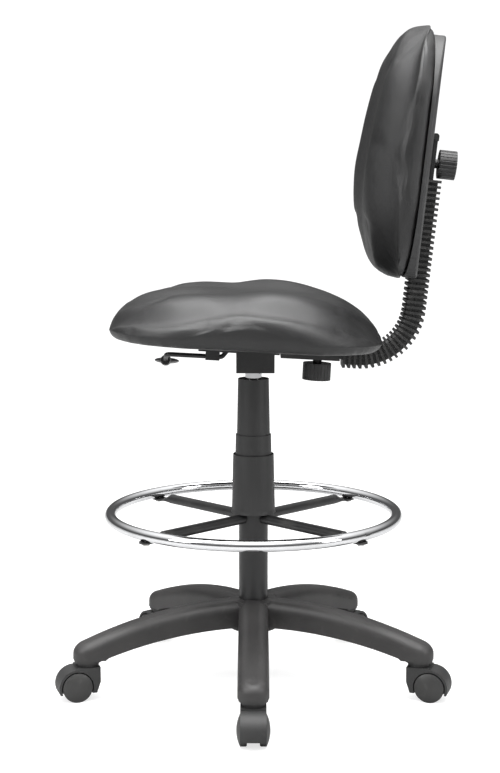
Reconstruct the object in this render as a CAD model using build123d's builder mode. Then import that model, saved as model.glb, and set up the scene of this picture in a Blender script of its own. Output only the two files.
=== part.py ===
"""Drafting chair with a foot ring, on a five-arm base.

Millimetres, +Z up, origin on the floor on the column's axis. The chair faces -Y, so +X is the
sitter's left side. The seat is at the bottom of its lift, the bar is fully in and the back is fully down.
"""
from build123d import *
import os
from math import cos, radians, sin, tan

os.makedirs("parts", exist_ok=True)

# Fits: a shaft in a hole, two solids that only pass each other, and a pin that never turns
running_gap = 0.05
loose_gap = 0.3
tight_gap = 0.02

# Base
arm_count = 5
arm_reach = 317.0
arm_width = 50.0
arm_wall = 3.5
arm_crown = 18.0
crest_hub, crest_mid, crest_end = 150.5, 134.5, 90.0
crest_mid_reach = 175.0
arch_hub, arch_mid, arch_end = 103.0, 94.0, 73.0
arch_end_reach = 262.0
arm_end_floor = 69.0
socket_radius, socket_floor, socket_top = 23.5, 65.0, 89.0
rib_thickness = 2.5
rib_pitch = 38.0
hub_radius, hub_floor, hub_top = 40.0, 98.0, 149.0
stem_reach = arm_reach - arm_width / 2

# Casters
caster_trail = 22.0
wheel_radius, wheel_inner, wheel_rim, wheel_crown = 25.0, 10.0, 20.5, 26.5
hood_radius, hood_half_width, hood_wall = 31.0, 20.3, 4.0
hood_core_half = 9.6
hood_lip_angle = 20.0
hood_shoulder, hood_cut = 33.0, 124.0
web_start, web_end, web_depth = 8.0, 19.0, 7.0
wheel_bevel = 1.5
stem_chamfer = 1.0
neck_radius, neck_top = 18.0, 64.4
boss_back, boss_top, boss_floor = 17.0, 58.0, 14.5
axle_radius, axle_half = 3.0, 21.5
stem_radius, stem_floor, stem_tip = 5.5, 42.0, 87.0

# Column, lift and covers
column_radius, column_wall = 25.0, 3.0
column_floor, column_top = 96.0, 470.0
column_plate = 4.0
rod_radius, rod_floor, rod_top = 5.0, 86.0, 286.0
clip_radius, clip_top, clip_thickness = 9.0, 94.5, 1.6
bearing_radius, race_thickness, ball_radius, ball_count = 12.0, 1.2, 2.2, 10
collar_radius, collar_height = 11.0, 4.0
bump_height = 10.0
cylinder_radius, cylinder_wall = 14.0, 1.5
cylinder_floor, cylinder_top = 128.0, 583.0
rod_guide_height, valve_block_height = 22.0, 24.0
piston_height = 14.0
taper_start, taper_top_radius = 545.0, 13.3
sleeve_floor, sleeve_flange = 372.0, 3.0
pin_radius, pin_floor, pin_top = 3.0, 564.0, 588.0
cover_wall = 1.5
lower_cover_floor, lower_cover_top = 301.0, 402.0
lower_cover_foot, lower_cover_mouth = 38.0, 34.75
middle_cover_top, middle_cover_radius, middle_cover_mouth = 436.0, 30.9, 30.1
upper_cover_floor, upper_cover_top = 360.0, 531.5
upper_cover_radius, upper_cover_mouth = 28.2, 26.2

# Foot ring
ring_radius, ring_tube, ring_tube_wall, ring_height = 244.5, 9.5, 1.5, 298.8
spoke_radius, spoke_height, spoke_end = 8.5, 292.0, 208.0
tab_start, tab_end, tab_width, tab_thickness = 228.0, 256.0, 22.0, 3.0
ring_screw_radius, ring_screw_head = 3.0, 6.0

# Seat: everything above the column is tilted, rear low
seat_height, seat_tilt = 600.0, 3.0
seat_front, seat_rear, seat_half_width = -239.0, 212.0, 228.0
seat_corner = 135.0
board_inset, board_thickness, dust_thickness = 26.0, 12.0, 1.0
plate_half, plate_wing, plate_depth, steel = 40.0, 95.0, 22.5, 2.5
plate_front, plate_rear = -91.0, 45.0
guide_front, guide_rear, guide_depth = 47.0, 146.0, 27.9
guide_wing = 70.0
nut_length = 30.0
strap_front, strap_rear = -80.0, -56.0
strap_half, strap_floor = 8.0, 43.5
box_front, box_rear, box_half, box_floor = -29.0, 35.5, 30.0, 543.7
screw_radius, screw_head_radius, screw_head = 3.0, 6.0, 4.0

# Back bar, bellows and knobs
bar_width, bar_thickness, bar_depth, bar_bend = 60.0, 6.0, 21.8, 90.0
bar_front, bar_tip = 50.0, 35.0
height_travel = 28.0
slide_gap = 0.1
bellows_start, bellows_end = 151.0, -35.0
bellows_width, bellows_body, bellows_thickness = 68.0, 23.0, 36.0
bellows_pitch, bellows_fold = 9.2, 4.4
stud_radius, slot_width = 4.0, 9.0
knob_radius, knob_height, knob_neck = 24.0, 28.5, 7.5
knob_grooves, groove_radius = 24, 1.6
depth_knob_y = 110.0

# Backrest: leans back
back_y, back_z, back_lean = 265.0, 904.0, 6.2
back_half_width, back_bottom, back_top, back_corner = 202.0, -201.0, 212.0, 130.0
back_board_thickness, back_board_inset = 8.0, 28.0
shell_depth, shell_edge, shell_wall = 25.0, 6.0, 3.0
shell_inset, shell_drop = 4.0, 14.0
groove_half, groove_floor, groove_top = 36.0, 12.8, -29.0
bar_offset = 32.3
back_knob_v = -8.0

# Release lever, in the tilted frame of the seat
lever_radius, lever_x, lever_drop = 4.0, -24.0, 37.8
lever_reach_y = -147.0
paddle_drop = 7.8
grip_start = Vector(-62.0, -150.0, -53.0)
grip_direction = Vector(-38.0, 0.0, -5.0)
grip_length, grip_half_width, grip_half_thickness = 82.0, 20.0, 5.0

tilt, lean = radians(seat_tilt), radians(back_lean)
seat = Plane(origin=(0, 0, seat_height), x_dir=(1, 0, 0), z_dir=(0, sin(tilt), cos(tilt)))
back = Plane(origin=(0, back_y, back_z), x_dir=(1, 0, 0), z_dir=(0, -cos(lean), sin(lean)))


def along_seat(y):
    """A plane across the seat's length at y, whose local Y axis points down."""
    return Plane(origin=seat.from_local_coords((0, y, 0)), x_dir=(1, 0, 0), z_dir=seat.y_dir)


def write(piece, label):
    """Name a finished piece and write it."""
    piece.part.label = label
    export_step(piece.part, f"parts/{label}.step")


# ---------------------------------------------------------------- base
with BuildPart() as cavity:
    with BuildSketch(Plane.XZ):
        with BuildLine():
            roof = ThreePointArc(
                (0, crest_hub - arm_wall), (crest_mid_reach, crest_mid - arm_wall),
                (arm_reach, crest_end - arm_wall)
            )
            Polyline(roof @ 1, (arm_reach, 0), (0, 0), roof @ 0)
        make_face()
    extrude(amount=arm_width / 2 - arm_wall, both=True)
    with Locations(((hub_radius + arch_end_reach) / 2, 0, 0)):
        Box(arch_end_reach - hub_radius - 2 * arm_wall, arm_width, 2 * hub_top, mode=Mode.INTERSECT)
    fillet(cavity.edges().filter_by(GeomType.CIRCLE).group_by(Axis.Z)[-1], arm_crown - arm_wall)
    rib_count = int((arch_end_reach - hub_radius) / rib_pitch)
    with Locations([(hub_radius + i * rib_pitch, 0, crest_mid) for i in range(1, rib_count + 1)]):
        Box(rib_thickness, arm_width, 2 * crest_mid, mode=Mode.SUBTRACT)

with BuildPart() as arm:
    with BuildSketch(Plane.XZ):
        with BuildLine():
            crest = ThreePointArc((0, crest_hub), (crest_mid_reach, crest_mid), (arm_reach, crest_end))
            end_wall = Polyline(
                crest @ 1, (arm_reach, arm_end_floor), (stem_reach - arm_width / 2, arm_end_floor),
                (arch_end_reach, arch_end)
            )
            arch = ThreePointArc(end_wall @ 1, (crest_mid_reach, arch_mid), (0, arch_hub))
            Line(arch @ 1, crest @ 0)
        make_face()
    extrude(amount=arm_width, both=True)
    with BuildSketch(Plane.XY):
        with Locations((stem_reach / 2, 0)):
            Rectangle(stem_reach, arm_width)
        with Locations((stem_reach, 0)):
            Circle(arm_width / 2)
    extrude(amount=2 * hub_top, mode=Mode.INTERSECT)
    fillet(arm.faces().sort_by(Axis.Z)[-1].edges().filter_by(lambda e: e.center().X > 1), arm_crown)
    add(cavity.part, mode=Mode.SUBTRACT)
    with BuildSketch(Plane.XY.offset(socket_floor)):
        with Locations((stem_reach, 0)):
            Circle(socket_radius)
    extrude(amount=2 * (arm_end_floor - socket_floor))

with BuildPart() as base_star:
    with BuildSketch(Plane.XY.offset(hub_floor)):
        Circle(hub_radius)
    extrude(amount=hub_top - hub_floor)
    with PolarLocations(0, arm_count):
        add(arm.part)
    with BuildSketch(Plane.XY.offset(hub_floor)):
        Circle(column_radius + tight_gap)
    extrude(amount=2 * hub_floor, mode=Mode.SUBTRACT)
    with BuildSketch(Plane.XY.offset(socket_floor)):
        with PolarLocations(stem_reach, arm_count):
            Circle(stem_radius + running_gap)
    extrude(amount=socket_top - socket_floor, mode=Mode.SUBTRACT)
write(base_star, "base_star")


# ---------------------------------------------------------------- column and covers
with BuildPart() as column_tube:
    with BuildSketch(Plane.XY.offset(column_floor)):
        Circle(column_radius)
        Circle(column_radius - column_wall, mode=Mode.SUBTRACT)
    extrude(amount=column_top - column_floor)
    with BuildSketch(Plane.XY.offset(column_floor)):
        Circle(column_radius)
        Circle(rod_radius + running_gap, mode=Mode.SUBTRACT)
    extrude(amount=column_plate)
write(column_tube, "column_tube")

with BuildPart() as guide_sleeve:
    with BuildSketch(Plane.XY.offset(sleeve_floor)):
        Circle(column_radius - column_wall - tight_gap)
    extrude(amount=column_top - sleeve_floor)
    with BuildSketch(Plane.XY.offset(column_top)):
        Circle(column_radius - steel / 5)
    extrude(amount=sleeve_flange)
    with BuildSketch(Plane.XY.offset(sleeve_floor)):
        Circle(cylinder_radius + running_gap)
    extrude(amount=column_top, mode=Mode.SUBTRACT)
write(guide_sleeve, "guide_sleeve")


def cover(label, foot, start, top, foot_radius, start_radius, top_radius, web=None):
    """A turned sleeve from foot over start to top; web is the level, rim and hole of a ring inside it."""
    with BuildPart() as piece:
        with BuildSketch(Plane.XZ):
            with BuildLine():
                outside = Polyline((foot_radius, foot), (start_radius, start), (top_radius, top))
                Polyline(
                    outside @ 1, (top_radius - cover_wall, top), (start_radius - cover_wall, start),
                    (foot_radius - cover_wall, foot), outside @ 0
                )
            make_face()
        revolve(axis=Axis.Z)
        if web:
            level, rim, hole = web
            with BuildSketch(Plane.XY.offset(level)):
                Circle(rim - cover_wall / 2)
                Circle(hole, mode=Mode.SUBTRACT)
            extrude(amount=cover_wall)
    write(piece, label)


lower_taper = lower_cover_foot - 2 * cover_wall / 3
cover(
    "lower_cover", lower_cover_floor, lower_cover_floor + 4 * cover_wall, lower_cover_top,
    lower_cover_foot, lower_taper, lower_cover_mouth,
    web=(lower_cover_floor, lower_cover_foot, column_radius + loose_gap)
)
cover(
    "middle_cover", lower_cover_floor + 2 * cover_wall, lower_cover_top, middle_cover_top,
    middle_cover_radius, middle_cover_radius, middle_cover_mouth
)
cover(
    "upper_cover", upper_cover_floor, middle_cover_top, upper_cover_top,
    upper_cover_radius, upper_cover_radius, upper_cover_mouth,
    web=(upper_cover_top - 2 * cover_wall, upper_cover_mouth, cylinder_radius)
)

# ---------------------------------------------------------------- foot ring
with BuildPart() as foot_ring:
    with Locations((0, 0, ring_height)):
        Torus(ring_radius, ring_tube)
        Torus(ring_radius, ring_tube - ring_tube_wall, mode=Mode.SUBTRACT)
    with BuildSketch(Plane.XY.offset(ring_height - 2 * ring_tube)):
        with PolarLocations(ring_radius, 4, start_angle=45):
            Circle(ring_screw_radius + tight_gap)
    extrude(amount=2 * ring_tube, mode=Mode.SUBTRACT)
write(foot_ring, "foot_ring")

tab_top = ring_height - ring_tube
with BuildPart() as spoke:
    with BuildSketch(Plane.YZ.offset(column_radius - steel)):
        with Locations((0, spoke_height)):
            Circle(spoke_radius)
    extrude(amount=spoke_end - column_radius + steel)
    with BuildSketch(Plane.YZ.offset(spoke_end)):
        with Locations((0, spoke_height)):
            Circle(spoke_radius)
    with BuildSketch(Plane.YZ.offset(tab_start)):
        with Locations((0, tab_top - tab_thickness / 2)):
            SlotOverall(tab_width, tab_thickness)
    loft()
    with BuildSketch(Plane.XY.offset(tab_top - tab_thickness)):
        with Locations(((tab_start + tab_end) / 2 - tab_width / 4, 0)):
            Rectangle(tab_end - tab_start - tab_width / 2, tab_width)
        with Locations((tab_end - tab_width / 2, 0)):
            Circle(tab_width / 2)
        with Locations((ring_radius, 0)):
            Circle(ring_screw_radius + tight_gap, mode=Mode.SUBTRACT)
    extrude(amount=tab_thickness)
    with BuildSketch(Plane.XY.offset(spoke_height - 2 * spoke_radius)):
        Circle(column_radius + tight_gap)
    extrude(amount=4 * spoke_radius, mode=Mode.SUBTRACT)

with BuildPart() as footrest_spokes:
    with PolarLocations(0, 4, start_angle=45):
        add(spoke.part)
write(footrest_spokes, "footrest_spokes")

with BuildPart() as foot_ring_screws:
    with BuildSketch(Plane.XY.offset(tab_top - tab_thickness)):
        with PolarLocations(ring_radius, 4, start_angle=45):
            Circle(ring_screw_head)
    extrude(amount=-screw_head)
    fillet(foot_ring_screws.edges().group_by(Axis.Z)[0], screw_head / 2)
    with BuildSketch(Plane.XY.offset(tab_top - tab_thickness)):
        with PolarLocations(ring_radius, 4, start_angle=45):
            Circle(ring_screw_radius)
    extrude(amount=tab_thickness + 3 * ring_tube_wall)
write(foot_ring_screws, "foot_ring_screws")

# ---------------------------------------------------------------- gas lift
race_floor = column_floor + column_plate
collar_floor = race_floor + 2 * race_thickness + 2 * ball_radius
with BuildPart() as thrust_bearing:
    for level in (race_floor, collar_floor - race_thickness):
        with BuildSketch(Plane.XY.offset(level)):
            Circle(bearing_radius)
            Circle(rod_radius + loose_gap, mode=Mode.SUBTRACT)
        extrude(amount=race_thickness)
    with Locations((0, 0, race_floor + race_thickness + ball_radius)):
        with PolarLocations((bearing_radius + rod_radius) / 2, ball_count):
            Sphere(ball_radius - tight_gap)
write(thrust_bearing, "thrust_bearing")

with BuildPart() as piston_rod:
    with BuildSketch(Plane.XY.offset(rod_floor)):
        Circle(rod_radius)
    extrude(amount=rod_top - rod_floor)
    with BuildSketch(Plane.XY.offset(collar_floor)):
        Circle(collar_radius)
    extrude(amount=collar_height)
    with BuildSketch(Plane.XY.offset(clip_top)):
        Circle(2 * rod_radius)
        Circle(rod_radius - 1, mode=Mode.SUBTRACT)
    extrude(amount=-clip_thickness, mode=Mode.SUBTRACT)
write(piston_rod, "piston_rod")

with BuildPart() as retaining_clip:
    with BuildSketch(Plane.XY.offset(clip_top)):
        Circle(clip_radius)
        Circle(rod_radius - 1 + tight_gap, mode=Mode.SUBTRACT)
        with Locations((clip_radius, 0)):
            Rectangle(2 * clip_radius, rod_radius, mode=Mode.SUBTRACT)
    extrude(amount=-clip_thickness)
write(retaining_clip, "retaining_clip")

with BuildPart() as bump_stop:
    with BuildSketch(Plane.XY.offset(collar_floor + collar_height)):
        Circle(collar_radius)
        Circle(rod_radius + tight_gap, mode=Mode.SUBTRACT)
    extrude(amount=bump_height)
write(bump_stop, "bump_stop")

with BuildPart() as piston:
    with BuildSketch(Plane.XY.offset(rod_top)):
        Circle(cylinder_radius - cylinder_wall - running_gap)
    extrude(amount=piston_height)
write(piston, "piston")

with BuildPart() as gas_cylinder:
    with BuildSketch(Plane.XZ):
        with BuildLine():
            Polyline(
                (0, cylinder_floor), (cylinder_radius, cylinder_floor), (cylinder_radius, taper_start),
                (taper_top_radius, cylinder_top), (0, cylinder_top), (0, cylinder_floor)
            )
        make_face()
    revolve(axis=Axis.Z)
    with BuildSketch(Plane.XY.offset(cylinder_floor)):
        Circle(rod_radius + running_gap)
    extrude(amount=rod_guide_height, mode=Mode.SUBTRACT)
    with BuildSketch(Plane.XY.offset(cylinder_floor + rod_guide_height)):
        Circle(cylinder_radius - cylinder_wall)
    extrude(amount=cylinder_top - cylinder_floor - rod_guide_height - valve_block_height, mode=Mode.SUBTRACT)
    with BuildSketch(Plane.XY.offset(cylinder_top)):
        Circle(pin_radius + running_gap)
    extrude(amount=-valve_block_height, mode=Mode.SUBTRACT)
write(gas_cylinder, "gas_cylinder")

with BuildPart() as valve_pin:
    with BuildSketch(Plane.XY.offset(pin_floor)):
        Circle(pin_radius)
    extrude(amount=pin_top - pin_floor)
    fillet(valve_pin.edges().group_by(Axis.Z)[-1], pin_radius / 2)
write(valve_pin, "valve_pin")

# ---------------------------------------------------------------- under the seat
plate_screws_at = [(x, y) for x in (-80.0, 80.0) for y in (-75.0, 28.0)]
guide_screws_at = [(x, y) for x in (-55.0, 55.0) for y in (68.0, 126.0)]
screws_at = plate_screws_at + guide_screws_at
rise_start, rise_end = -30.0, -52.0


def hat(half, wing, depth, start, end):
    """A pressed channel under the seat, open at the top, with a flange on each side."""
    with BuildPart() as channel:
        with BuildSketch(along_seat(start)):
            with BuildLine():
                outer = Polyline(
                    (-wing, 0), (-wing, steel), (-half, steel), (-half, depth), (half, depth), (half, steel),
                    (wing, steel), (wing, 0)
                )
                inner_half = half - steel
                Polyline(
                    outer @ 1, (inner_half, 0), (inner_half, depth - steel), (-inner_half, depth - steel),
                    (-inner_half, 0), outer @ 0
                )
            make_face()
        extrude(amount=end - start)
    return channel.part


plate_channel = hat(plate_half, plate_wing, plate_depth, plate_front, plate_rear)
guide_channel = hat(bar_width / 2 + loose_gap + steel, guide_wing, guide_depth, guide_front, guide_rear)

with BuildPart() as mechanism_plate:
    add(plate_channel)
    with BuildSketch(seat):
        with Locations(plate_screws_at):
            Circle(screw_radius + loose_gap)
    extrude(amount=-plate_depth / 2, mode=Mode.SUBTRACT)
    with BuildSketch(seat.offset(-plate_depth)):
        with Locations((lever_x, (rise_start + rise_end) / 2)):
            Rectangle(5 * lever_radius, 1.6 * (rise_start - rise_end))
        Circle(cylinder_radius + 1)
    extrude(amount=2 * steel, mode=Mode.SUBTRACT)
write(mechanism_plate, "mechanism_plate")

with BuildPart() as socket_box:
    with BuildSketch(Plane.XY.offset(box_floor)):
        with Locations((0, (box_front + box_rear) / 2)):
            Rectangle(2 * box_half, box_rear - box_front)
            Rectangle(2 * box_half - 2 * steel, box_rear - box_front - 2 * steel, mode=Mode.SUBTRACT)
        Circle(cylinder_radius + 2 * steel)
    extrude(amount=seat_height - box_floor)
    with BuildSketch(Plane.XY.offset(box_floor)):
        with Locations((0, (box_front + box_rear) / 2)):
            Rectangle(2 * box_half, box_rear - box_front)
    extrude(amount=steel)
    split(bisect_by=seat.offset(-plate_depth), keep=Keep.BOTTOM)
    with BuildSketch(Plane.XY.offset(box_floor)):
        Circle(cylinder_radius + tight_gap)
    extrude(amount=seat_height, mode=Mode.SUBTRACT)
write(socket_box, "socket_box")

with BuildPart() as bar_guide:
    add(guide_channel)
    with BuildSketch(seat):
        with Locations(guide_screws_at):
            Circle(screw_radius + loose_gap)
    extrude(amount=-guide_depth / 2, mode=Mode.SUBTRACT)
    with BuildSketch(seat):
        with Locations((0, depth_knob_y)):
            Circle(stud_radius + running_gap)
    extrude(amount=-2 * guide_depth, mode=Mode.SUBTRACT)
write(bar_guide, "bar_guide")

bar_top_depth = bar_depth - bar_thickness / 2 - slide_gap
nut_height = bar_top_depth - 3 * steel
with BuildPart() as depth_nut:
    with BuildSketch(seat.offset(-bar_top_depth)):
        with Locations((0, depth_knob_y)):
            Rectangle(bar_width, nut_length)
            Circle(stud_radius + running_gap, mode=Mode.SUBTRACT)
    extrude(amount=steel)
    with BuildSketch(seat.offset(-bar_top_depth)):
        with Locations((0, depth_knob_y)):
            RegularPolygon(2 * stud_radius, 6)
            Circle(stud_radius + running_gap, mode=Mode.SUBTRACT)
    extrude(amount=nut_height - steel)
write(depth_nut, "depth_nut")

with BuildPart() as lever_strap:
    with BuildSketch(Plane(origin=seat.from_local_coords((lever_x - strap_half, 0, 0)),
                           x_dir=seat.y_dir, z_dir=seat.x_dir)):
        with BuildLine():
            Polyline(
                (strap_front, -plate_depth), (strap_front, -strap_floor), (strap_rear, -strap_floor),
                (strap_rear, -plate_depth), (strap_front, -plate_depth)
            )
        make_face()
    extrude(amount=2 * strap_half)
    with BuildSketch(along_seat(strap_front)):
        with Locations((lever_x, lever_drop)):
            Circle(lever_radius + running_gap)
    extrude(amount=strap_rear - strap_front, mode=Mode.SUBTRACT)
write(lever_strap, "lever_strap")

with BuildPart() as plate_screws:
    with BuildSketch(seat.offset(-steel)):
        with Locations(screws_at):
            Circle(screw_head_radius)
    extrude(amount=-screw_head)
    with BuildSketch(seat.offset(-steel)):
        with Locations(screws_at):
            Circle(screw_radius)
    extrude(amount=steel + board_thickness - steel)
write(plate_screws, "plate_screws")

with BuildPart() as tee_nuts:
    with BuildSketch(seat.offset(dust_thickness)):
        with Locations(screws_at):
            Circle(1.5 * screw_radius)
            Circle(screw_radius + tight_gap, mode=Mode.SUBTRACT)
    extrude(amount=board_thickness - steel)
write(tee_nuts, "tee_nuts")

# ---------------------------------------------------------------- seat
seat_middle = (seat_front + seat_rear) / 2
seat_length = seat_rear - seat_front
board_corner = seat_corner - board_inset

with BuildPart() as seat_board:
    with BuildSketch(seat.offset(dust_thickness)):
        with Locations((0, seat_middle)):
            RectangleRounded(
                2 * (seat_half_width - board_inset), seat_length - 2 * board_inset, board_corner
            )
        with Locations(screws_at):
            Circle(1.5 * screw_radius + tight_gap, mode=Mode.SUBTRACT)
    extrude(amount=board_thickness)
write(seat_board, "seat_board")

with BuildPart() as seat_dust_cover:
    with BuildSketch(seat):
        with Locations((0, seat_middle)):
            RectangleRounded(
                2 * (seat_half_width - board_inset), seat_length - 2 * board_inset, board_corner
            )
        with Locations(screws_at):
            Circle(screw_radius + loose_gap, mode=Mode.SUBTRACT)
    extrude(amount=dust_thickness)
write(seat_dust_cover, "seat_dust_cover")

seat_side = Plane(origin=seat.origin, x_dir=seat.y_dir, z_dir=seat.x_dir)
with BuildPart() as seat_cushion:
    with BuildSketch(seat_side):
        with BuildLine():
            seat_crest = Spline(
                (seat_front, 20), (-206, 60), (-130, 76), (-60, 80), (25, 89), (90, 85), (145, 68), (190, 42),
                (seat_rear, 20)
            )
            rear_edge = ThreePointArc(seat_crest @ 1, (seat_rear - 7, 6), (seat_rear - 23, 0))
            front_edge = ThreePointArc(seat_crest @ 0, (seat_front + 5, 6), (seat_front + 18, 0))
            Line(rear_edge @ 1, front_edge @ 1)
        make_face()
    extrude(amount=seat_half_width, both=True)
    with BuildSketch(seat):
        with Locations((0, seat_middle)):
            RectangleRounded(2 * seat_half_width, seat_length, seat_corner)
    extrude(amount=seat_height, mode=Mode.INTERSECT)
    with BuildSketch(seat):
        with Locations((0, seat_middle)):
            RectangleRounded(
                2 * (seat_half_width - board_inset), seat_length - 2 * board_inset, board_corner
            )
    extrude(amount=dust_thickness + board_thickness, mode=Mode.SUBTRACT)
write(seat_cushion, "seat_cushion")

# ---------------------------------------------------------------- release lever
lever_points = [
    seat.from_local_coords(point) for point in (
        (lever_radius, 0, -paddle_drop), (lever_x, 0, -paddle_drop), (lever_x, rise_start, -paddle_drop),
        (lever_x, rise_end, -lever_drop), (lever_x, lever_reach_y, -lever_drop), grip_start
    )
]
with BuildPart() as lever_rod:
    with BuildLine():
        lever_path = FilletPolyline(*lever_points, radius=2 * lever_radius)
    with BuildSketch(Plane(origin=lever_path @ 0, z_dir=lever_path % 0)):
        Circle(lever_radius)
    sweep()
write(lever_rod, "lever_rod")

grip_axis = grip_direction.normalized()
grip_origin = grip_start - grip_axis * lever_radius


def across_grip(distance):
    """A plane across the grip, a distance along it, whose local X axis is the grip's width."""
    origin = seat.from_local_coords(grip_origin + grip_axis * distance)
    normal = seat.x_dir * grip_axis.X + seat.z_dir * grip_axis.Z
    return Plane(origin=origin, x_dir=seat.y_dir, z_dir=normal)


with BuildPart() as lever_handle:
    with BuildSketch(across_grip(0)):
        Circle(2 * lever_radius)
    with BuildSketch(across_grip(grip_length / 5)):
        Circle(2.4 * lever_radius)
    loft()
    with BuildSketch(across_grip(grip_length / 5)):
        Ellipse(grip_half_width / 2, 1.6 * lever_radius)
    with BuildSketch(across_grip(grip_length / 2)):
        Ellipse(grip_half_width, grip_half_thickness)
    with BuildSketch(across_grip(grip_length * 0.9)):
        Ellipse(grip_half_width * 0.85, grip_half_thickness * 0.85)
    with BuildSketch(across_grip(grip_length)):
        Ellipse(grip_half_width * 0.5, grip_half_thickness * 0.4)
    loft()
    add(lever_rod.part, mode=Mode.SUBTRACT)
write(lever_handle, "lever_handle")


# ---------------------------------------------------------------- knobs
def knob(face, label):
    """A grooved hand knob with a neck, standing on face, whose local Z axis is the knob's way out."""
    with BuildPart() as piece:
        with BuildSketch(face):
            Circle(knob_neck)
        extrude(amount=2 * stud_radius)
        with BuildSketch(face.offset(2 * stud_radius)):
            Circle(knob_radius)
            with PolarLocations(knob_radius + groove_radius / 2, knob_grooves):
                Circle(groove_radius, mode=Mode.SUBTRACT)
        extrude(amount=knob_height)
        with BuildSketch(face):
            Circle(stud_radius + tight_gap)
        extrude(amount=3 * stud_radius, mode=Mode.SUBTRACT)
    write(piece, label)


def stud(face, label, below, above):
    """The threaded stud of a knob, from below face, inside the knob, to above it."""
    with BuildPart() as piece:
        with BuildSketch(face.offset(below)):
            Circle(stud_radius)
        extrude(amount=-(below + above))
    write(piece, label)


depth_face = Plane(
    origin=seat.from_local_coords((0, depth_knob_y, -guide_depth - loose_gap)),
    x_dir=(1, 0, 0), z_dir=-seat.z_dir
)
knob(depth_face, "depth_knob")
stud(depth_face, "depth_stud", 3 * stud_radius, guide_depth - paddle_drop)

back_knob_offset = bar_offset + bar_thickness / 2 + 2 * loose_gap
back_face = Plane(
    origin=back.from_local_coords((0, back_knob_v, -back_knob_offset)), x_dir=(1, 0, 0), z_dir=-back.z_dir
)
knob(back_face, "back_knob")
stud(back_face, "back_stud", 3 * stud_radius, back_knob_offset + back_board_thickness - 1)

# ---------------------------------------------------------------- back bar
bar_foot = seat.from_local_coords((0, bar_front, -bar_depth))
bar_head = back.from_local_coords((0, bar_tip, -bar_offset))
bar_level = bar_foot.Z + bar_foot.Y * tan(tilt)
bar_plumb = bar_head.Y - bar_head.Z * tan(lean)
corner_z = (bar_level - bar_plumb * tan(tilt)) / (1 + tan(tilt) * tan(lean))
bar_corner = Vector(0, bar_plumb + corner_z * tan(lean), corner_z)

with BuildPart() as back_bar:
    with BuildLine():
        bar_path = FilletPolyline(bar_foot, bar_corner, bar_head, radius=bar_bend)
    with BuildSketch(Plane(origin=bar_path @ 0, x_dir=(1, 0, 0), z_dir=bar_path % 0)):
        Rectangle(bar_width, bar_thickness)
    sweep()
    slot_start, slot_end = bar_front + 9, depth_knob_y + 5
    with BuildSketch(seat):
        with Locations((0, (slot_start + slot_end) / 2)):
            SlotOverall(slot_end - slot_start, slot_width, rotation=90)
    extrude(amount=-2 * bar_depth, mode=Mode.SUBTRACT)
    slot_low, slot_high = back_knob_v - 5, back_knob_v + height_travel + 5
    with BuildSketch(back):
        with Locations((0, (slot_low + slot_high) / 2)):
            SlotOverall(slot_high - slot_low, slot_width, rotation=90)
    extrude(amount=-2 * bar_offset, mode=Mode.SUBTRACT)
write(back_bar, "back_bar")

cap_skin, cap_hook, cap_height = 1.5, 3.3, 6.0
cap_low, cap_high = slot_high + 4, bar_tip + cap_height
cap_rear, cap_face = -bar_offset - bar_thickness / 2 - cap_skin, -bar_offset + bar_thickness / 2
with BuildPart() as bar_end_cap:
    with BuildSketch(Plane(origin=back.origin, x_dir=back.z_dir, z_dir=(-1, 0, 0))):
        with BuildLine():
            hook_line = Polyline(
                (cap_rear, cap_high - cap_height), (cap_rear, cap_low), (cap_face, cap_low),
                (cap_face, bar_tip - cap_height / 2), (cap_face + cap_hook, bar_tip - cap_height / 2),
                (cap_face + cap_hook, bar_tip)
            )
            ThreePointArc(hook_line @ 1, ((cap_rear + cap_face) / 2, cap_high), hook_line @ 0)
        make_face()
    extrude(amount=bar_width / 2 + 1, both=True)
    with BuildSketch(back.offset(-bar_offset - bar_thickness / 2)):
        with Locations((0, bar_tip - bar_width / 2)):
            Rectangle(bar_width, bar_width)
    extrude(amount=bar_thickness, mode=Mode.SUBTRACT)
write(bar_end_cap, "bar_end_cap")

bellows_foot = seat.from_local_coords((0, bellows_start, -bar_depth))
bellows_head = back.from_local_coords((0, bellows_end, -bar_offset))
bellows_margin = 2 * loose_gap
with BuildPart() as bellows:
    with BuildLine():
        bellows_path = FilletPolyline(bellows_foot, bar_corner, bellows_head, radius=bar_bend)
    with BuildSketch(Plane(origin=bellows_path @ 0, x_dir=(1, 0, 0), z_dir=bellows_path % 0)):
        Rectangle(bellows_width - bellows_pitch, bellows_body)
    sweep()
    fold_count = int(bellows_path.length / bellows_pitch)
    for i in range(fold_count + 1):
        along = bellows_fold / 2 + i * (bellows_path.length - bellows_fold) / fold_count
        place = along / bellows_path.length
        with BuildSketch(Plane(origin=bellows_path @ place, x_dir=(1, 0, 0), z_dir=bellows_path % place)):
            RectangleRounded(bellows_width, bellows_thickness, bellows_pitch)
        extrude(amount=bellows_fold / 2, both=True)
    with BuildSketch(Plane(origin=bellows_path @ 0, x_dir=(1, 0, 0), z_dir=bellows_path % 0)):
        Rectangle(bar_width + bellows_margin, bar_thickness + bellows_margin)
    sweep(path=bellows_path, mode=Mode.SUBTRACT)
write(bellows, "bellows")

# ---------------------------------------------------------------- backrest
back_middle = (back_bottom + back_top) / 2
back_height = back_top - back_bottom
back_side = Plane(origin=back.origin, x_dir=back.y_dir, z_dir=back.x_dir)
shell_screws_at = [(x, y) for x in (-120.0, 120.0) for y in (-120.0, 130.0)]

with BuildPart() as back_board:
    with BuildSketch(back):
        with Locations((0, back_middle)):
            RectangleRounded(
                2 * (back_half_width - back_board_inset), back_height - 2 * back_board_inset,
                back_corner - back_board_inset
            )
        with Locations(shell_screws_at):
            Circle(screw_radius + tight_gap, mode=Mode.SUBTRACT)
        with Locations((0, back_knob_v)):
            Circle(1.5 * stud_radius + tight_gap, mode=Mode.SUBTRACT)
    extrude(amount=back_board_thickness)
write(back_board, "back_board")

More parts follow.
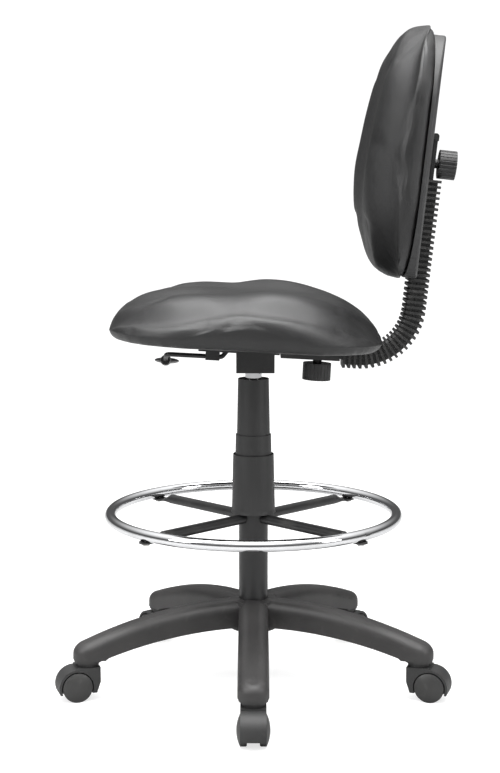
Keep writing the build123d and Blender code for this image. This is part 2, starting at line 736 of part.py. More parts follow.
with BuildPart() as back_tee_nut:
    with BuildSketch(back):
        with Locations((0, back_knob_v)):
            Circle(1.5 * stud_radius)
            Circle(stud_radius + running_gap, mode=Mode.SUBTRACT)
    extrude(amount=back_board_thickness)
write(back_tee_nut, "back_tee_nut")

with BuildPart() as back_cushion:
    with BuildSketch(back_side):
        with BuildLine():
            back_front = Spline(
                (back_top - 4, 3), (back_top, 14), (188, 50), (155, 66), (60, 79), (-35, 85), (-120, 76),
                (-176, 52), (back_bottom, 14), (back_bottom + 4, 3)
            )
            Polyline(back_front @ 1, (back_bottom + 8, 0), (back_top - 8, 0), back_front @ 0)
        make_face()
    extrude(amount=back_half_width, both=True)
    with BuildSketch(back):
        with Locations((0, back_middle)):
            RectangleRounded(2 * back_half_width, back_height, back_corner)
    extrude(amount=back_height, mode=Mode.INTERSECT)
    with BuildSketch(back):
        with Locations((0, back_middle)):
            RectangleRounded(
                2 * (back_half_width - back_board_inset), back_height - 2 * back_board_inset,
                back_corner - back_board_inset
            )
    extrude(amount=back_board_thickness, mode=Mode.SUBTRACT)
write(back_cushion, "back_cushion")


def dish(inset, depth_inset):
    """The shell's solid outline behind the board, shrunk by inset at its rim and depth_inset at its back."""
    with BuildPart() as piece:
        with BuildSketch(Plane(origin=back.from_local_coords((0, back_bottom, 0)), x_dir=(1, 0, 0),
                               z_dir=back.y_dir)):
            with BuildLine():
                bow = ThreePointArc(
                    (-back_half_width, shell_edge - depth_inset), (0, shell_depth - depth_inset),
                    (back_half_width, shell_edge - depth_inset)
                )
                Polyline(bow @ 1, (back_half_width, 0), (-back_half_width, 0), bow @ 0)
            make_face()
        extrude(amount=back_height)
        with BuildSketch(back):
            with Locations((0, back_middle - shell_drop / 2)):
                RectangleRounded(
                    2 * (back_half_width - inset), back_height - shell_drop - 2 * inset, back_corner - inset
                )
        extrude(amount=-2 * shell_depth, mode=Mode.INTERSECT)
    return piece


outer_dish, inner_dish = dish(shell_inset, 0), dish(shell_inset + shell_wall, shell_wall)
groove_start = back_bottom - groove_half
with BuildPart() as shell_posts:
    with BuildSketch(back):
        with Locations(shell_screws_at):
            Circle(3 * screw_radius)
        with Locations((0, back_knob_v)):
            Circle(3 * stud_radius)
    extrude(amount=-2 * shell_depth)
    with BuildSketch(back.offset(shell_wall - groove_floor)):
        with Locations((0, (groove_start + groove_top + shell_wall) / 2)):
            Rectangle(2 * (groove_half + shell_wall), groove_top + shell_wall - groove_start)
    extrude(amount=-2 * shell_depth)
    add(outer_dish.part, mode=Mode.INTERSECT)

with BuildPart() as back_shell:
    add(outer_dish.part)
    fillet(back_shell.faces().sort_by(SortBy.AREA)[-1].edges(), shell_edge * 0.6)
    add(inner_dish.part, mode=Mode.SUBTRACT)
    add(shell_posts.part)
    with BuildSketch(back.offset(-groove_floor)):
        with Locations((0, (groove_start + groove_top) / 2)):
            Rectangle(2 * groove_half, groove_top - groove_start)
    extrude(amount=-2 * shell_depth, mode=Mode.SUBTRACT)
    with BuildSketch(back):
        with Locations(shell_screws_at):
            Circle(screw_radius + loose_gap)
        with Locations((0, back_knob_v)):
            Circle(stud_radius + running_gap)
    extrude(amount=-2 * shell_depth, mode=Mode.SUBTRACT)
    screw_seat = shell_edge - screw_head / 2
    with BuildSketch(back.offset(-screw_seat)):
        with Locations(shell_screws_at):
            Circle(screw_head_radius + loose_gap)
    extrude(amount=-2 * shell_depth, mode=Mode.SUBTRACT)
write(back_shell, "back_shell")

with BuildPart() as shell_screws:
    with BuildSketch(back.offset(-screw_seat)):
        with Locations(shell_screws_at):
            Circle(screw_head_radius)
    extrude(amount=-screw_head)
    with BuildSketch(back.offset(-screw_seat)):
        with Locations(shell_screws_at):
            Circle(screw_radius)
    extrude(amount=screw_seat + back_board_thickness - 1)
write(shell_screws, "shell_screws")


# ---------------------------------------------------------------- casters
def caster(number, arm_angle):
    """One twin-wheel caster under the arm at arm_angle, trailing outwards."""
    stem = Vector(stem_reach, 0, 0).rotate(Axis.Z, arm_angle)
    forward = Vector(1, 0, 0).rotate(Axis.Z, arm_angle)
    side = Plane(origin=stem, x_dir=forward, z_dir=forward.cross(Vector(0, 0, 1)))
    ground = Plane(origin=stem, x_dir=forward, z_dir=(0, 0, 1))
    hub = (caster_trail, wheel_radius)
    label = f"caster_{number}"

    with BuildPart() as hood:
        with BuildSketch(side):
            with Locations(hub):
                Circle(hood_radius)
            with BuildLine():
                Polyline(
                    (-boss_back, boss_top), (-boss_back, hood_shoulder),
                    (boss_floor - wheel_radius, boss_floor),
                    (caster_trail, boss_floor), (caster_trail, boss_top), (-boss_back, boss_top)
                )
            make_face()
            with Locations((caster_trail, hub[1] - hood_radius * sin(radians(hood_lip_angle)))):
                Rectangle(hood_cut, hood_cut, align=(Align.CENTER, Align.MAX), mode=Mode.SUBTRACT)
        extrude(amount=hood_half_width, both=True)
        for way in (-1, 1):
            with BuildSketch(side.offset(way * hood_core_half)):
                with Locations(hub):
                    Circle(hood_radius - hood_wall)
            extrude(amount=way * hood_radius, mode=Mode.SUBTRACT)
        with BuildSketch(ground.offset(boss_top - hood_wall)):
            Circle(neck_radius)
        extrude(amount=neck_top - boss_top + hood_wall)
        with BuildSketch(ground.offset(stem_floor)):
            Circle(stem_radius + tight_gap)
        extrude(amount=neck_top, mode=Mode.SUBTRACT)
        with BuildSketch(side):
            with Locations(hub):
                Circle(axle_radius + tight_gap)
        extrude(amount=hood_radius, both=True, mode=Mode.SUBTRACT)
    write(hood, label + "_hood")

    with BuildPart() as pins:
        with BuildSketch(ground.offset(stem_floor)):
            Circle(stem_radius)
        extrude(amount=stem_tip - stem_floor)
        chamfer(pins.edges().group_by(Axis.Z)[-1], stem_chamfer)
        with BuildSketch(side):
            with Locations(hub):
                Circle(axle_radius)
        extrude(amount=axle_half, both=True)
    write(pins, label + "_pins")

    for way, name in ((-1, "left"), (1, "right")):
        with BuildPart() as wheel:
            with BuildSketch(Plane.XZ):
                with BuildLine():
                    rim = Polyline(
                        (0, wheel_inner), (web_start, wheel_inner), (web_start, wheel_inner + web_depth),
                        (web_end, wheel_inner + web_depth), (web_end, wheel_inner),
                        (wheel_radius - wheel_bevel, wheel_inner),
                        (wheel_radius, wheel_inner + wheel_bevel), (wheel_radius, wheel_rim)
                    )
                    TangentArc((0, wheel_crown), rim @ 1, tangent=(1, 0))
                    Line((0, wheel_crown), (0, wheel_inner))
                make_face()
            revolve(axis=Axis.Z)
            with BuildSketch(Plane.XY.offset(wheel_inner)):
                Circle(axle_radius + running_gap)
            extrude(amount=axle_half + running_gap - wheel_inner, mode=Mode.SUBTRACT)
        centre = stem + forward * caster_trail + Vector(0, 0, wheel_radius)
        axle = Plane(origin=centre, x_dir=forward, z_dir=side.z_dir * way)
        wheel.part.locate(axle.location)
        write(wheel, f"{label}_wheel_{name}")


for number in range(arm_count):
    caster(number + 1, number * 360 / arm_count)
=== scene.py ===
import math

import bpy
import numpy as np
from mathutils import Matrix, Vector, noise


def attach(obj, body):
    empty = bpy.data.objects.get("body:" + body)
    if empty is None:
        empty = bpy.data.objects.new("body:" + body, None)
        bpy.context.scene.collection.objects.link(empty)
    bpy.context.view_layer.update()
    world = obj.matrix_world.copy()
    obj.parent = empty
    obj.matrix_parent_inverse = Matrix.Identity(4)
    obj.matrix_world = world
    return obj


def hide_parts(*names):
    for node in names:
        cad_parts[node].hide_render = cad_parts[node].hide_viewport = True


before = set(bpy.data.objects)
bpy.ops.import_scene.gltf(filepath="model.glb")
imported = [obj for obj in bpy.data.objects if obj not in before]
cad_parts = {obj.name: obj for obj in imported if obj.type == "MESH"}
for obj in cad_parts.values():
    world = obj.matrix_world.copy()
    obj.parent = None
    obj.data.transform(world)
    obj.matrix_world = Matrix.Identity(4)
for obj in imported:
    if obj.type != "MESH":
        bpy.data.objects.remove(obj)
bpy.ops.object.select_all(action="DESELECT")
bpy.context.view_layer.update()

# ------------------------------------------------------------------ star base
# One injection moulding of black glass-filled nylon: five hollow arms on a
# hub, with a fine spark-eroded texture and duller, dustier tops where shoes rub.


class Wire:
    """A number or a colour running over a surface. Arithmetic on it adds Math nodes."""

    def __init__(self, tree, socket):
        self.tree = tree
        self.socket = socket

    def node(self, kind, settings, sockets, output=0):
        """Adds any other node: its settings first, then its sockets' values or wires."""
        made = self.tree.nodes.new(kind)
        for key, value in settings.items():
            setattr(made, key, value)
        for key, value in sockets.items():
            if isinstance(value, Wire):
                self.tree.links.new(value.socket, made.inputs[key])
            else:
                made.inputs[key].default_value = value
        return Wire(self.tree, made.outputs[output])

    def math(self, operation, first, second):
        return self.node("ShaderNodeMath", {"operation": operation}, {0: first, 1: second})

    def __add__(self, other):
        return self.math("ADD", self, other)

    def __radd__(self, other):
        return self.math("ADD", other, self)

    def __sub__(self, other):
        return self.math("SUBTRACT", self, other)

    def __rsub__(self, other):
        return self.math("SUBTRACT", other, self)

    def __mul__(self, other):
        return self.math("MULTIPLY", self, other)

    def __rmul__(self, other):
        return self.math("MULTIPLY", other, self)

    def ramp(self, low, high):
        """0 below low, 1 above high, smooth between."""
        limits = {"Value": self, "From Min": low, "From Max": high}
        return self.node("ShaderNodeMapRange", {"interpolation_type": "SMOOTHSTEP"}, limits)

    def cloud(self, scale, detail=3.0, distortion=0.0):
        """Noise of that many features to the metre, about 0.5 on average."""
        values = {"Vector": self, "Scale": scale, "Detail": detail, "Distortion": distortion}
        return self.node("ShaderNodeTexNoise", {}, values)

    def stretched(self, scale):
        """The coordinates scaled by a different amount along each axis."""
        return self.node("ShaderNodeMapping", {}, {"Vector": self, "Scale": scale})

    def axis(self, name):
        return self.node("ShaderNodeSeparateXYZ", {}, {0: self}, name)

    def mix(self, dark, light):
        """A colour from dark to light as this number goes from 0 to 1."""
        ends = {0: self, 6: (*dark, 1.0), 7: (*light, 1.0)}
        return self.node("ShaderNodeMix", {"data_type": "RGBA"}, ends, 2)

    def bump(self, depth, under=None):
        """The normal of this height, depth metres from 0 to 1, over another normal."""
        values = {"Strength": 1.0, "Distance": depth, "Height": self}
        if under is not None:
            values["Normal"] = under
        return self.node("ShaderNodeBump", {}, values)

    def feed(self, shader, name):
        self.tree.links.new(self.socket, shader.inputs[name])


def new_finish(name, roughness, metallic=0.0):
    """A material, its shader and the Object coordinates of the piece that wears it."""
    finish = bpy.data.materials.new(name)
    finish.use_nodes = True
    shader = finish.node_tree.nodes["Principled BSDF"]
    shader.inputs["Roughness"].default_value = roughness
    shader.inputs["Metallic"].default_value = metallic
    place = finish.node_tree.nodes.new("ShaderNodeTexCoord").outputs["Object"]
    return finish, shader, Wire(finish.node_tree, place)


def moulded(name, colour, rub, roughness, texture, depth):
    """Moulded plastic: its colour, the paler colour of rubbed spots, texture per metre."""
    finish, shader, point = new_finish(name, roughness)
    blotch = point.cloud(9.0, 4.0)
    scuff = point.cloud(55.0, 6.0, 0.6).ramp(0.56, 0.74)
    fine = point.cloud(texture, 2.0)
    (blotch.ramp(0.3, 0.7) * 0.45 + scuff * 0.35).mix(colour, rub).feed(shader, "Base Color")
    (roughness - 0.05 + blotch * 0.1 + scuff * 0.07 + fine * 0.03).feed(shader, "Roughness")
    soft = point.cloud(30.0, 2.0).bump(0.0004)
    fine.bump(depth, soft).feed(shader, "Normal")
    return finish


def dress(finish, *nodes):
    """Gives CAD nodes their finish."""
    for name in nodes:
        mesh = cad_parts[name].data
        mesh.materials.clear()
        mesh.materials.append(finish)


nylon = moulded("glass_nylon", (0.026, 0.025, 0.025), (0.055, 0.053, 0.052), 0.44, 1500.0, 0.00012)
dress(nylon, "base_star")

# ------------------------------------------------------------------ casters
# Twin-wheel casters: matt nylon hoods over pairs of discs whose treads are
# polished and greyed by the floor, on plated steel stems and axles.
hood_nylon = moulded("hood_nylon", (0.02, 0.02, 0.02), (0.045, 0.045, 0.045), 0.5, 1700.0, 0.0001)
wheel_nylon = moulded("wheel_nylon", (0.024, 0.024, 0.024), (0.06, 0.059, 0.057), 0.4, 900.0, 0.00008)

zinc, zinc_shader, zinc_point = new_finish("zinc_plate", 0.34, 1.0)
zinc_bloom = zinc_point.cloud(160.0, 4.0)
zinc_bloom.ramp(0.3, 0.7).mix((0.5, 0.49, 0.46), (0.68, 0.68, 0.69)).feed(zinc_shader, "Base Color")
(0.26 + zinc_bloom * 0.2).feed(zinc_shader, "Roughness")
zinc_point.cloud(1400.0).bump(0.00004).feed(zinc_shader, "Normal")

for number in range(1, 6):
    caster = f"caster_{number}"
    dress(hood_nylon, f"{caster}_hood")
    dress(wheel_nylon, f"{caster}_wheel_left", f"{caster}_wheel_right")
    dress(zinc, f"{caster}_pins")

# ------------------------------------------------------------------ column
# A powder-coated tube in three telescoping plastic covers, with a plated gas
# cylinder on top. Sliding draws faint upright scratches on the covers.
cover, cover_shader, cover_point = new_finish("cover_plastic", 0.45)
cover_streak = cover_point.stretched((420.0, 420.0, 9.0)).cloud(1.0, 4.0).ramp(0.52, 0.78)
cover_blotch = cover_point.cloud(12.0, 3.0)
cover_tone = cover_blotch * 0.5 + cover_streak * 0.3
cover_tone.mix((0.022, 0.022, 0.022), (0.048, 0.048, 0.048)).feed(cover_shader, "Base Color")
(0.4 + cover_blotch * 0.1 + cover_streak * 0.08).feed(cover_shader, "Roughness")
cover_fine = cover_point.cloud(1300.0, 2.0).bump(0.00007)
cover_streak.bump(0.00005, cover_fine).feed(cover_shader, "Normal")
dress(cover, "lower_cover", "middle_cover", "upper_cover", "guide_sleeve")

powder, powder_shader, powder_point = new_finish("powder_coat", 0.38)
powder_peel = powder_point.cloud(420.0, 2.0)
powder_dust = powder_point.cloud(24.0, 5.0).ramp(0.45, 0.8)
powder_dust.mix((0.016, 0.016, 0.0165), (0.036, 0.035, 0.034)).feed(powder_shader, "Base Color")
(0.31 + powder_peel * 0.08 + powder_dust * 0.14).feed(powder_shader, "Roughness")
powder_peel.bump(0.00018).feed(powder_shader, "Normal")
dress(powder, "column_tube")

chrome, chrome_shader, chrome_point = new_finish("chrome_plate", 0.07, 1.0)
chrome_smear = chrome_point.cloud(14.0, 5.0, 0.8).ramp(0.48, 0.75)
chrome_smear.mix((0.83, 0.835, 0.85), (0.76, 0.765, 0.775)).feed(chrome_shader, "Base Color")
(0.05 + chrome_smear * 0.09).feed(chrome_shader, "Roughness")
chrome_point.cloud(90.0, 2.0).bump(0.00003).feed(chrome_shader, "Normal")
dress(chrome, "gas_cylinder")
dress(zinc, "thrust_bearing", "piston_rod", "retaining_clip", "valve_pin")

rubber, rubber_shader, rubber_point = new_finish("black_rubber", 0.5)
rubber_dust = rubber_point.cloud(70.0, 5.0)
rubber_dust.ramp(0.35, 0.75).mix((0.02, 0.02, 0.02), (0.05, 0.049, 0.048)).feed(rubber_shader, "Base Color")
(0.4 + rubber_dust * 0.2).feed(rubber_shader, "Roughness")
rubber_point.cloud(800.0, 3.0).bump(0.0001).feed(rubber_shader, "Normal")
dress(rubber, "bump_stop")

# ------------------------------------------------------------------ foot ring
# A steel tube bent to a ring and chromed, screwed down on four powder-coated
# spokes that run out from the column and are flattened under the ring.
dress(chrome, "foot_ring")
dress(powder, "footrest_spokes")
dress(zinc, "foot_ring_screws")

# ------------------------------------------------------------------ mechanism
# Pressed steel plate, socket and bar guide, all powder-coated, screwed up into
# tee nuts in the seat board, with the lift lever and its moulded grip.
knob_plastic = moulded("knob_plastic", (0.018, 0.018, 0.018), (0.045, 0.045, 0.045), 0.36, 1100.0, 0.00006)
dress(powder, "mechanism_plate", "socket_box", "bar_guide", "depth_nut", "lever_strap", "lever_rod")
dress(zinc, "plate_screws", "tee_nuts", "depth_stud", "back_stud")
dress(knob_plastic, "lever_handle", "depth_knob", "back_knob", "bar_end_cap", "piston")

# ------------------------------------------------------------------ back bar
# A flat steel bar bent to a J, powder-coated, in a black rubber bellows whose
# folds catch the light on their rims.
dress(powder, "back_bar")
dress(rubber, "bellows")

# ------------------------------------------------------------------ boards
# Plywood seat and back boards, hidden under the cushions and covers, with their
# grain along X and their layers up through the thickness.
plywood, ply_shader, ply_point = new_finish("plywood", 0.68)
ply_grain = ply_point.stretched((14.0, 190.0, 190.0)).cloud(1.0, 6.0, 0.4)
ply_layer = ply_point.stretched((4.0, 4.0, 620.0)).cloud(1.0, 1.0)
ply_tone = ply_grain * 0.6 + ply_layer * 0.4
ply_tone.ramp(0.3, 0.7).mix((0.36, 0.23, 0.12), (0.62, 0.45, 0.28)).feed(ply_shader, "Base Color")
(0.58 + ply_grain * 0.18).feed(ply_shader, "Roughness")
ply_grain.bump(0.00012).feed(ply_shader, "Normal")
dress(plywood, "seat_board", "back_board")

# ------------------------------------------------------------------ seat cushion
# Moulded foam with two thigh channels and raised side bolsters, in one skin of
# black upholstery vinyl pulled round the board's edge and stapled beneath it.
vinyl, vinyl_shader, vinyl_point = new_finish("upholstery_vinyl", 0.36)
vinyl_blotch = vinyl_point.cloud(11.0, 4.0)
vinyl_pebble = vinyl_point.node(
    "ShaderNodeTexVoronoi", {"feature": "DISTANCE_TO_EDGE"}, {"Vector": vinyl_point, "Scale": 780.0}
)
vinyl_crease = vinyl_point.cloud(260.0, 5.0, 1.2)
vinyl_tone = vinyl_blotch.ramp(0.3, 0.75)
vinyl_tone.mix((0.011, 0.011, 0.0113), (0.019, 0.019, 0.0192)).feed(vinyl_shader, "Base Color")
(0.3 + vinyl_blotch * 0.08 + vinyl_crease * 0.05).feed(vinyl_shader, "Roughness")
vinyl_soft = vinyl_crease.bump(0.00022)
vinyl_pebble.ramp(0.0, 0.35).bump(0.00012, vinyl_soft).feed(vinyl_shader, "Normal")

seat_tilt = math.radians(3.0)
seat_place = Matrix.Translation((0, 0, 0.6)) @ Matrix.Rotation(-seat_tilt, 4, "X")


def through(points, values):
    """A smooth curve through (position, height) points, in millimetres, at many positions."""
    at = np.array([p for p, _ in points], float)
    height = np.array([h for _, h in points], float)
    rise = np.diff(height) / np.diff(at)
    before, after = rise[:-1], rise[1:]
    same_way = before * after > 0
    inner = np.where(same_way, 2 * before * after / np.where(same_way, before + after, 1), 0)
    slope = np.concatenate([rise[:1], inner, rise[-1:]])
    x = np.clip(values, at[0], at[-1])
    i = np.clip(np.searchsorted(at, x) - 1, 0, len(at) - 2)
    step = at[i + 1] - at[i]
    t = (x - at[i]) / step
    level = (1 + 2 * t) * (1 - t) ** 2 * height[i] + t * t * (3 - 2 * t) * height[i + 1]
    return level + step * (t * (1 - t) ** 2 * slope[i] - t * t * (1 - t) * slope[i + 1])


def smooth(values, low, high):
    t = np.clip((values - low) / (high - low), 0, 1)
    return t * t * (3 - 2 * t)


def extent(across, half, other_half, corner):
    """Half the length of a rounded rectangle at that distance across it."""
    past = np.clip(np.abs(across) - (half - corner), 0, corner)
    return other_half - corner + np.sqrt(np.maximum(corner**2 - past**2, 0))


def outline(direction_x, direction_y, half_x, half_y, corner):
    """How far a rounded rectangle reaches from its middle in each unit direction."""
    ux = np.maximum(np.abs(direction_x), 1e-6)
    uy = np.maximum(np.abs(direction_y), 1e-6)
    cx, cy = half_x - corner, half_y - corner
    along = ux * cx + uy * cy
    bend = along + np.sqrt(np.maximum(along**2 - cx**2 - cy**2 + corner**2, 0))
    side = half_x / ux
    end = half_y / uy
    return np.where(side * uy <= cy, side, np.where(end * ux <= cx, end, bend))


cushion_cuts = 61
edge_crowding = 1.6  # above 1 draws the grid's lines towards the rim
fold_rate, tuck_rate = 28, 11
hem_fade = 9.0
underside = 0.2
held_below = 14.0


def cushion(
    name, half_x, half_y, middle, corner, board_gap, board_top, top_height, hem_curl, curl_height, gather
):
    """A subdivided cube laid out as a cushion: crown, walls curling in to a hem, recess for the board."""
    bpy.ops.object.select_all(action="DESELECT")
    bpy.ops.mesh.primitive_cube_add(size=2)
    piece = bpy.context.object
    piece.name = name
    bpy.ops.object.mode_set(mode="EDIT")
    bpy.ops.mesh.subdivide(number_cuts=cushion_cuts)
    bpy.ops.object.mode_set(mode="OBJECT")
    count = len(piece.data.vertices)
    cube = np.empty(count * 3)
    piece.data.vertices.foreach_get("co", cube)
    a, b, c = cube.reshape(-1, 3).T
    ring = np.maximum(np.maximum(np.abs(a), np.abs(b)), 1e-9)
    length = np.hypot(a * half_x, b * half_y) + 1e-9
    ring = 1 - (1 - ring) ** edge_crowding
    ux, uy = a * half_x / length, b * half_y / length
    reach = outline(ux, uy, half_x, half_y, corner)
    x, y = ux * reach * ring, uy * reach * ring
    top = top_height(x, y + middle)
    edge = top_height(ux * reach, uy * reach + middle)
    wall = edge * (c + 1) / 2
    curl = np.clip(1 - wall / curl_height, 0, 1)
    inward = hem_curl * (1 - np.sqrt(1 - curl**2))
    fold = np.array([noise.noise(Vector((p * fold_rate, q * fold_rate, 3.1))) for p, q in zip(ux, uy)])
    tuck = np.array([noise.noise(Vector((p * tuck_rate, q * tuck_rate, 7.7))) for p, q in zip(ux, uy)])
    near_hem = np.exp(-wall / hem_fade)
    is_top = c > 0.999
    is_floor = c < -0.999
    pull = inward - gather * near_hem * (fold + 0.8 * tuck)
    keep = 1 - pull / reach
    on_wall = ~is_top & ~is_floor
    x = np.where(on_wall, x * keep, x)
    y = np.where(on_wall, y * keep, y)
    hem = 1 - hem_curl / reach
    x = np.where(is_floor, x * hem, x)
    y = np.where(is_floor, y * hem, y)
    inside = (1 - ring) * reach > board_gap - hem_curl
    floor = np.where(inside, board_top, underside)
    z = np.where(is_top, top, np.where(is_floor, floor, wall))
    made = np.stack([x, y + middle, z], 1) / 1000
    piece.data.vertices.foreach_set("co", made.ravel())
    piece.data.update()
    held = piece.vertex_groups.new(name="held")
    fixed = np.nonzero(is_floor | (z < held_below))[0].tolist()
    held.add(fixed, 1.0, "REPLACE")
    return piece


swell_frames = 20
swell_limit = 0.005


def inflate(piece, cap):
    """Swells the foam against its skin with a short cloth run, no point moving over cap metres."""
    mesh = piece.data
    start = np.empty(len(mesh.vertices) * 3)
    mesh.vertices.foreach_get("co", start)
    start = start.reshape(-1, 3)
    cloth = piece.modifiers.new("Cloth", "CLOTH")
    cloth.settings.quality = 4
    cloth.settings.mass = 0.3
    cloth.settings.tension_stiffness = 12
    cloth.settings.compression_stiffness = 12
    cloth.settings.bending_stiffness = 1.5
    cloth.settings.use_pressure = True
    cloth.settings.uniform_pressure_force = 4
    cloth.settings.vertex_group_mass = "held"
    cloth.settings.effector_weights.gravity = 0
    cloth.collision_settings.use_collision = False
    scene = bpy.context.scene
    for step in range(1, swell_frames + 1):
        scene.frame_set(step)
    ready = piece.evaluated_get(bpy.context.evaluated_depsgraph_get())
    swollen = np.empty_like(start).ravel()
    ready.data.vertices.foreach_get("co", swollen)
    move = swollen.reshape(-1, 3) - start
    far = np.linalg.norm(move, axis=1, keepdims=True)
    move *= cap * np.tanh(far / cap) / np.maximum(far, 1e-9)
    piece.modifiers.remove(cloth)
    scene.frame_set(1)
    mesh.vertices.foreach_set("co", (start + move).ravel())
    mesh.update()


def upholster(piece, place, body, node):
    """Puts a cushion in its place, smooths and subdivides it, and stands it for its CAD solid."""
    bpy.ops.object.select_all(action="DESELECT")
    piece.select_set(True)
    bpy.context.view_layer.objects.active = piece
    piece.vertex_groups.clear()
    relax = piece.modifiers.new("Relax", "SMOOTH")
    relax.factor = 0.5
    relax.iterations = 2
    bpy.ops.object.modifier_apply(modifier=relax.name)
    finer = piece.modifiers.new("Finer", "SUBSURF")
    finer.levels = 1
    finer.render_levels = 1
    bpy.ops.object.modifier_apply(modifier=finer.name)
    piece.data.transform(place)
    piece.data.materials.clear()
    piece.data.materials.append(vinyl)
    piece.data.shade_smooth()
    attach(piece, body)
    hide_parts(node)


seat_half = (227.0, 224.0)
seat_middle = -13.0
seat_corner = 135.0
seat_board_inset = 26.0
seat_board_top = 13.4
swell = 3.0  # how much the foam swells, taken off the shape that it starts from
seat_front_fall = [(0, 22), (2, 33), (6, 41), (15, 49), (36, 61), (66, 70), (100, 76), (136, 80), (420, 81)]
seat_rear_fall = [
    (0, 20), (2, 31), (6, 39), (14, 47), (34, 60), (64, 72), (96, 81), (124, 87), (154, 90), (420, 90),
]
seat_side_fall = [
    (0, 1.4), (3, 1.14), (8, 1.02), (17, 0.95), (25, 0.82), (35, 0.42), (45, 0.12), (60, 0.0), (400, 0.0),
]
seat_ridge = [
    (-240, 12), (-215, 26), (-160, 28), (-122, 34), (-84, 43), (-40, 54), (5, 58), (40, 56), (80, 50),
    (125, 44), (165, 34), (212, 14),
]
seat_hollow, hollow_middle, hollow_spread = 16, 62, 82
channel_depth, channel_side, channel_spread = 8, 82, 36
ridge_share = 0.75  # a side ridge never stands higher than this share of the crest


def seat_top(x, y):
    """The seat's height over its underside: thigh channels, a rear hollow, bolsters and a side ridge."""
    half_long = extent(x, seat_half[0], seat_half[1], seat_corner)
    half_wide = extent(y - seat_middle, seat_half[1], seat_half[0], seat_corner)
    front = through(seat_front_fall, y - seat_middle + half_long)
    rear = through(seat_rear_fall, seat_middle + half_long - y)
    crest = front + (rear - front) * smooth(y, -50, 25)
    ridge = np.minimum(through(seat_ridge, y), ridge_share * crest)
    side = through(seat_side_fall, half_wide - np.abs(x))
    hollow = seat_hollow * np.exp(-(((y - hollow_middle) / hollow_spread) ** 2))
    hollow = hollow * (1 - smooth(np.abs(x), 50, 150))
    thigh = channel_depth * np.exp(-(((np.abs(x) - channel_side) / channel_spread) ** 2))
    thigh = thigh * smooth(-y, 20, 120) * smooth(crest, 40, 76)
    return crest - (crest - ridge) * side - hollow - thigh - swell * smooth(crest, 20, 60)


seat_pad = cushion(
    "seat_pad", *seat_half, seat_middle, seat_corner, seat_board_inset, seat_board_top, seat_top,
    hem_curl=16.0, curl_height=22.0, gather=3.2,
)
inflate(seat_pad, swell_limit)
upholster(seat_pad, seat_place, "seat_frame", "seat_cushion")

# ------------------------------------------------------------------ dust cover
# A sheet of black non-woven cloth held flat under the seat board, a little
# slack away from its edge.
dust, dust_shader, dust_point = new_finish("dust_cloth", 0.9)
dust_fibre = dust_point.cloud(1500.0, 4.0, 1.5)
dust_dot = dust_point.node(
    "ShaderNodeTexVoronoi", {}, {"Vector": dust_point, "Scale": 480.0, "Randomness": 0.1}
)
dust_fibre.ramp(0.3, 0.7).mix((0.012, 0.012, 0.012), (0.035, 0.035, 0.035)).feed(dust_shader, "Base Color")
(0.82 + dust_fibre * 0.14).feed(dust_shader, "Roughness")
dust_dot.ramp(0.1, 0.5).bump(0.00012, dust_fibre.bump(0.0001)).feed(dust_shader, "Normal")

dust_half = (seat_half[0] - seat_board_inset, seat_half[1] - seat_board_inset)
dust_corner = seat_corner - seat_board_inset
dust_slack, dust_drop = 0.35, 0.45
bpy.ops.object.select_all(action="DESELECT")
bpy.ops.mesh.primitive_grid_add(x_subdivisions=64, y_subdivisions=64, size=2)
dust_cover = bpy.context.object
dust_cover.name = "dust_cover"
for corner in dust_cover.data.vertices:
    step = max(abs(corner.co.x), abs(corner.co.y), 1e-9)
    way = Vector((corner.co.x * dust_half[0], corner.co.y * dust_half[1])).normalized()
    reach = float(outline(way.x, way.y, *dust_half, dust_corner))
    x, y = way.x * reach * step, way.y * reach * step
    slack = noise.noise(Vector((x * 0.025, y * 0.025, 1.0))) * dust_slack * (1 - step**6)
    corner.co = (x / 1000, (y + seat_middle) / 1000, (dust_drop + slack) / 1000)
dust_cover.data.transform(seat_place)
dust_thick = dust_cover.modifiers.new("Thickness", "SOLIDIFY")
dust_thick.thickness = 0.0003
bpy.ops.object.modifier_apply(modifier=dust_thick.name)
dust_cover.data.materials.append(dust)
dust_cover.data.shade_smooth()
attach(dust_cover, "seat_frame")
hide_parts("seat_dust_cover")

# ------------------------------------------------------------------ back cushion
# The same foam and vinyl on the back board: fullest at the small of the back,
# with a soft ridge down each side where the skin turns to its hem.
back_lean = math.radians(6.2)
back_place = Matrix.Translation((0, 0.265, 0.904)) @ Matrix.Rotation(math.pi / 2 - back_lean, 4, "X")
back_half = (202.0, 204.5)
back_middle = 4.0
back_corner = 130.0
back_board_inset = 28.0
back_board_top = 8.4
back_hollow = 13
back_low_fall = [(0, 30), (3, 40), (12, 51), (25, 60), (48, 70), (81, 78), (120, 83), (166, 85), (420, 85)]
back_high_fall = [(0, 28), (3, 37), (10, 46), (24, 55), (57, 66), (100, 73), (152, 79), (247, 85), (420, 85)]
back_side_fall = [(0, 1.3), (3, 1.1), (8, 1.0), (15, 0.87), (24, 0.62), (40, 0.2), (58, 0.0), (400, 0.0)]
back_ridge = [
    (-202, 10), (-165, 24), (-100, 33), (-40, 40), (0, 43), (45, 37), (100, 30), (160, 24), (213, 9),
]


def back_top(x, v):
    """The back's depth in front of its board: lumbar swell, shallow middle, bolsters and a side ridge."""
    half_long = extent(x, back_half[0], back_half[1], back_corner)
    half_wide = extent(v - back_middle, back_half[1], back_half[0], back_corner)
    low = through(back_low_fall, v - back_middle + half_long)
    high = through(back_high_fall, back_middle + half_long - v)
    crest = low + (high - low) * smooth(v, -60, 20)
    ridge = np.minimum(through(back_ridge, v), ridge_share * crest)
    side = through(back_side_fall, half_wide - np.abs(x))
    hollow = back_hollow * smooth(crest, 50, 80) * (1 - smooth(np.abs(x), 40, 135))
    return crest - (crest - ridge) * side - hollow - swell * smooth(crest, 20, 60)


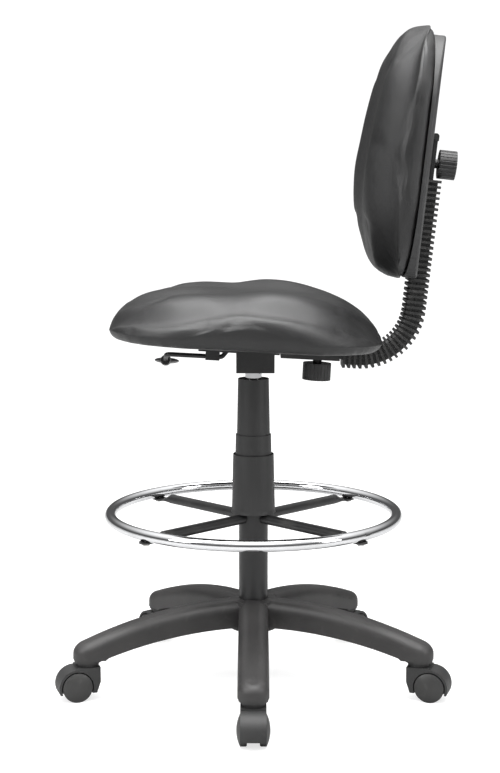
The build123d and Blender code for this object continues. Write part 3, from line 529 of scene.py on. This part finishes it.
back_pad = cushion(
    "back_pad", *back_half, back_middle, back_corner, back_board_inset, back_board_top, back_top,
    hem_curl=13.0, curl_height=30.0, gather=2.0,
)
inflate(back_pad, swell_limit)
upholster(back_pad, back_place, "backrest", "back_cushion")

# ------------------------------------------------------------------ back shell
# A shell of textured black plastic screwed over the back board, with a thin
# moulded lip round its edge.
shell_plastic = moulded("shell_plastic", (0.026, 0.026, 0.0265), (0.05, 0.05, 0.05), 0.46, 1250.0, 0.00014)
dress(shell_plastic, "back_shell")
dress(zinc, "shell_screws", "back_tee_nut")

# ------------------------------------------------------------------ studio
# A white floor and a white surround, both brightened for camera rays alone so
# that they meet without a line, a wide soft light overhead, a key and a rim.
floor_size = 240
floor_glow = 0.72
bpy.ops.mesh.primitive_plane_add(size=floor_size)
floor = bpy.context.object
floor.name = "studio_floor"
paint, paint_shader, paint_point = new_finish("floor_paint", 0.8)
paint_point.cloud(2.0).mix((0.44, 0.44, 0.44), (0.46, 0.46, 0.46)).feed(paint_shader, "Base Color")
seen = Wire(paint.node_tree, paint.node_tree.nodes.new("ShaderNodeLightPath").outputs["Is Camera Ray"])
(seen * floor_glow).feed(paint_shader, "Emission Strength")
paint_shader.inputs["Specular IOR Level"].default_value = 0.1
paint_shader.inputs["Emission Color"].default_value = (1, 1, 1, 1)
floor.data.materials.append(paint)

world = bpy.data.worlds.new("studio")
bpy.context.scene.world = world
world.use_nodes = True
sky = world.node_tree
backdrop = sky.nodes["Background"]
backdrop.inputs["Color"].default_value = (1, 1, 1, 1)
camera_ray = Wire(sky, sky.nodes.new("ShaderNodeLightPath").outputs["Is Camera Ray"])
sky_height = Wire(sky, sky.nodes.new("ShaderNodeTexCoord").outputs["Generated"]).axis("Z")
studio_light = 0.1 + sky_height.ramp(0.2, 0.95) * 1.3
(studio_light * (1 - camera_ray) + camera_ray * 1.05).feed(backdrop, "Strength")


def softbox(name, place, aim, size, power):
    lamp = bpy.data.lights.new(name, "AREA")
    lamp.shape = "RECTANGLE"
    lamp.size, lamp.size_y = size
    lamp.energy = power
    holder = bpy.data.objects.new(name, lamp)
    bpy.context.scene.collection.objects.link(holder)
    holder.location = place
    holder.rotation_euler = (Vector(aim) - Vector(place)).to_track_quat("-Z", "Y").to_euler()


softbox("overhead", (0.4, 0.0, 3.0), (0, 0, 0.3), (2.4, 3.2), 150)
softbox("key", (1.6, -2.4, 1.9), (0, 0, 0.6), (1.0, 1.8), 42)
softbox("rim", (1.4, 2.4, 1.5), (0, 0.1, 0.7), (0.7, 1.8), 26)

camera_tip, camera_turn = 90 - 7.81, 90.126
lens = bpy.data.cameras.new("camera")
lens.lens = 74.0
lens.clip_end = 60
camera = bpy.data.objects.new("camera", lens)
bpy.context.scene.collection.objects.link(camera)
camera.location = (2.673, 0, 0.884)
camera.rotation_euler = (math.radians(camera_tip), 0, math.radians(camera_turn))
bpy.context.scene.camera = camera
bpy.context.scene.view_settings.view_transform = "Standard"
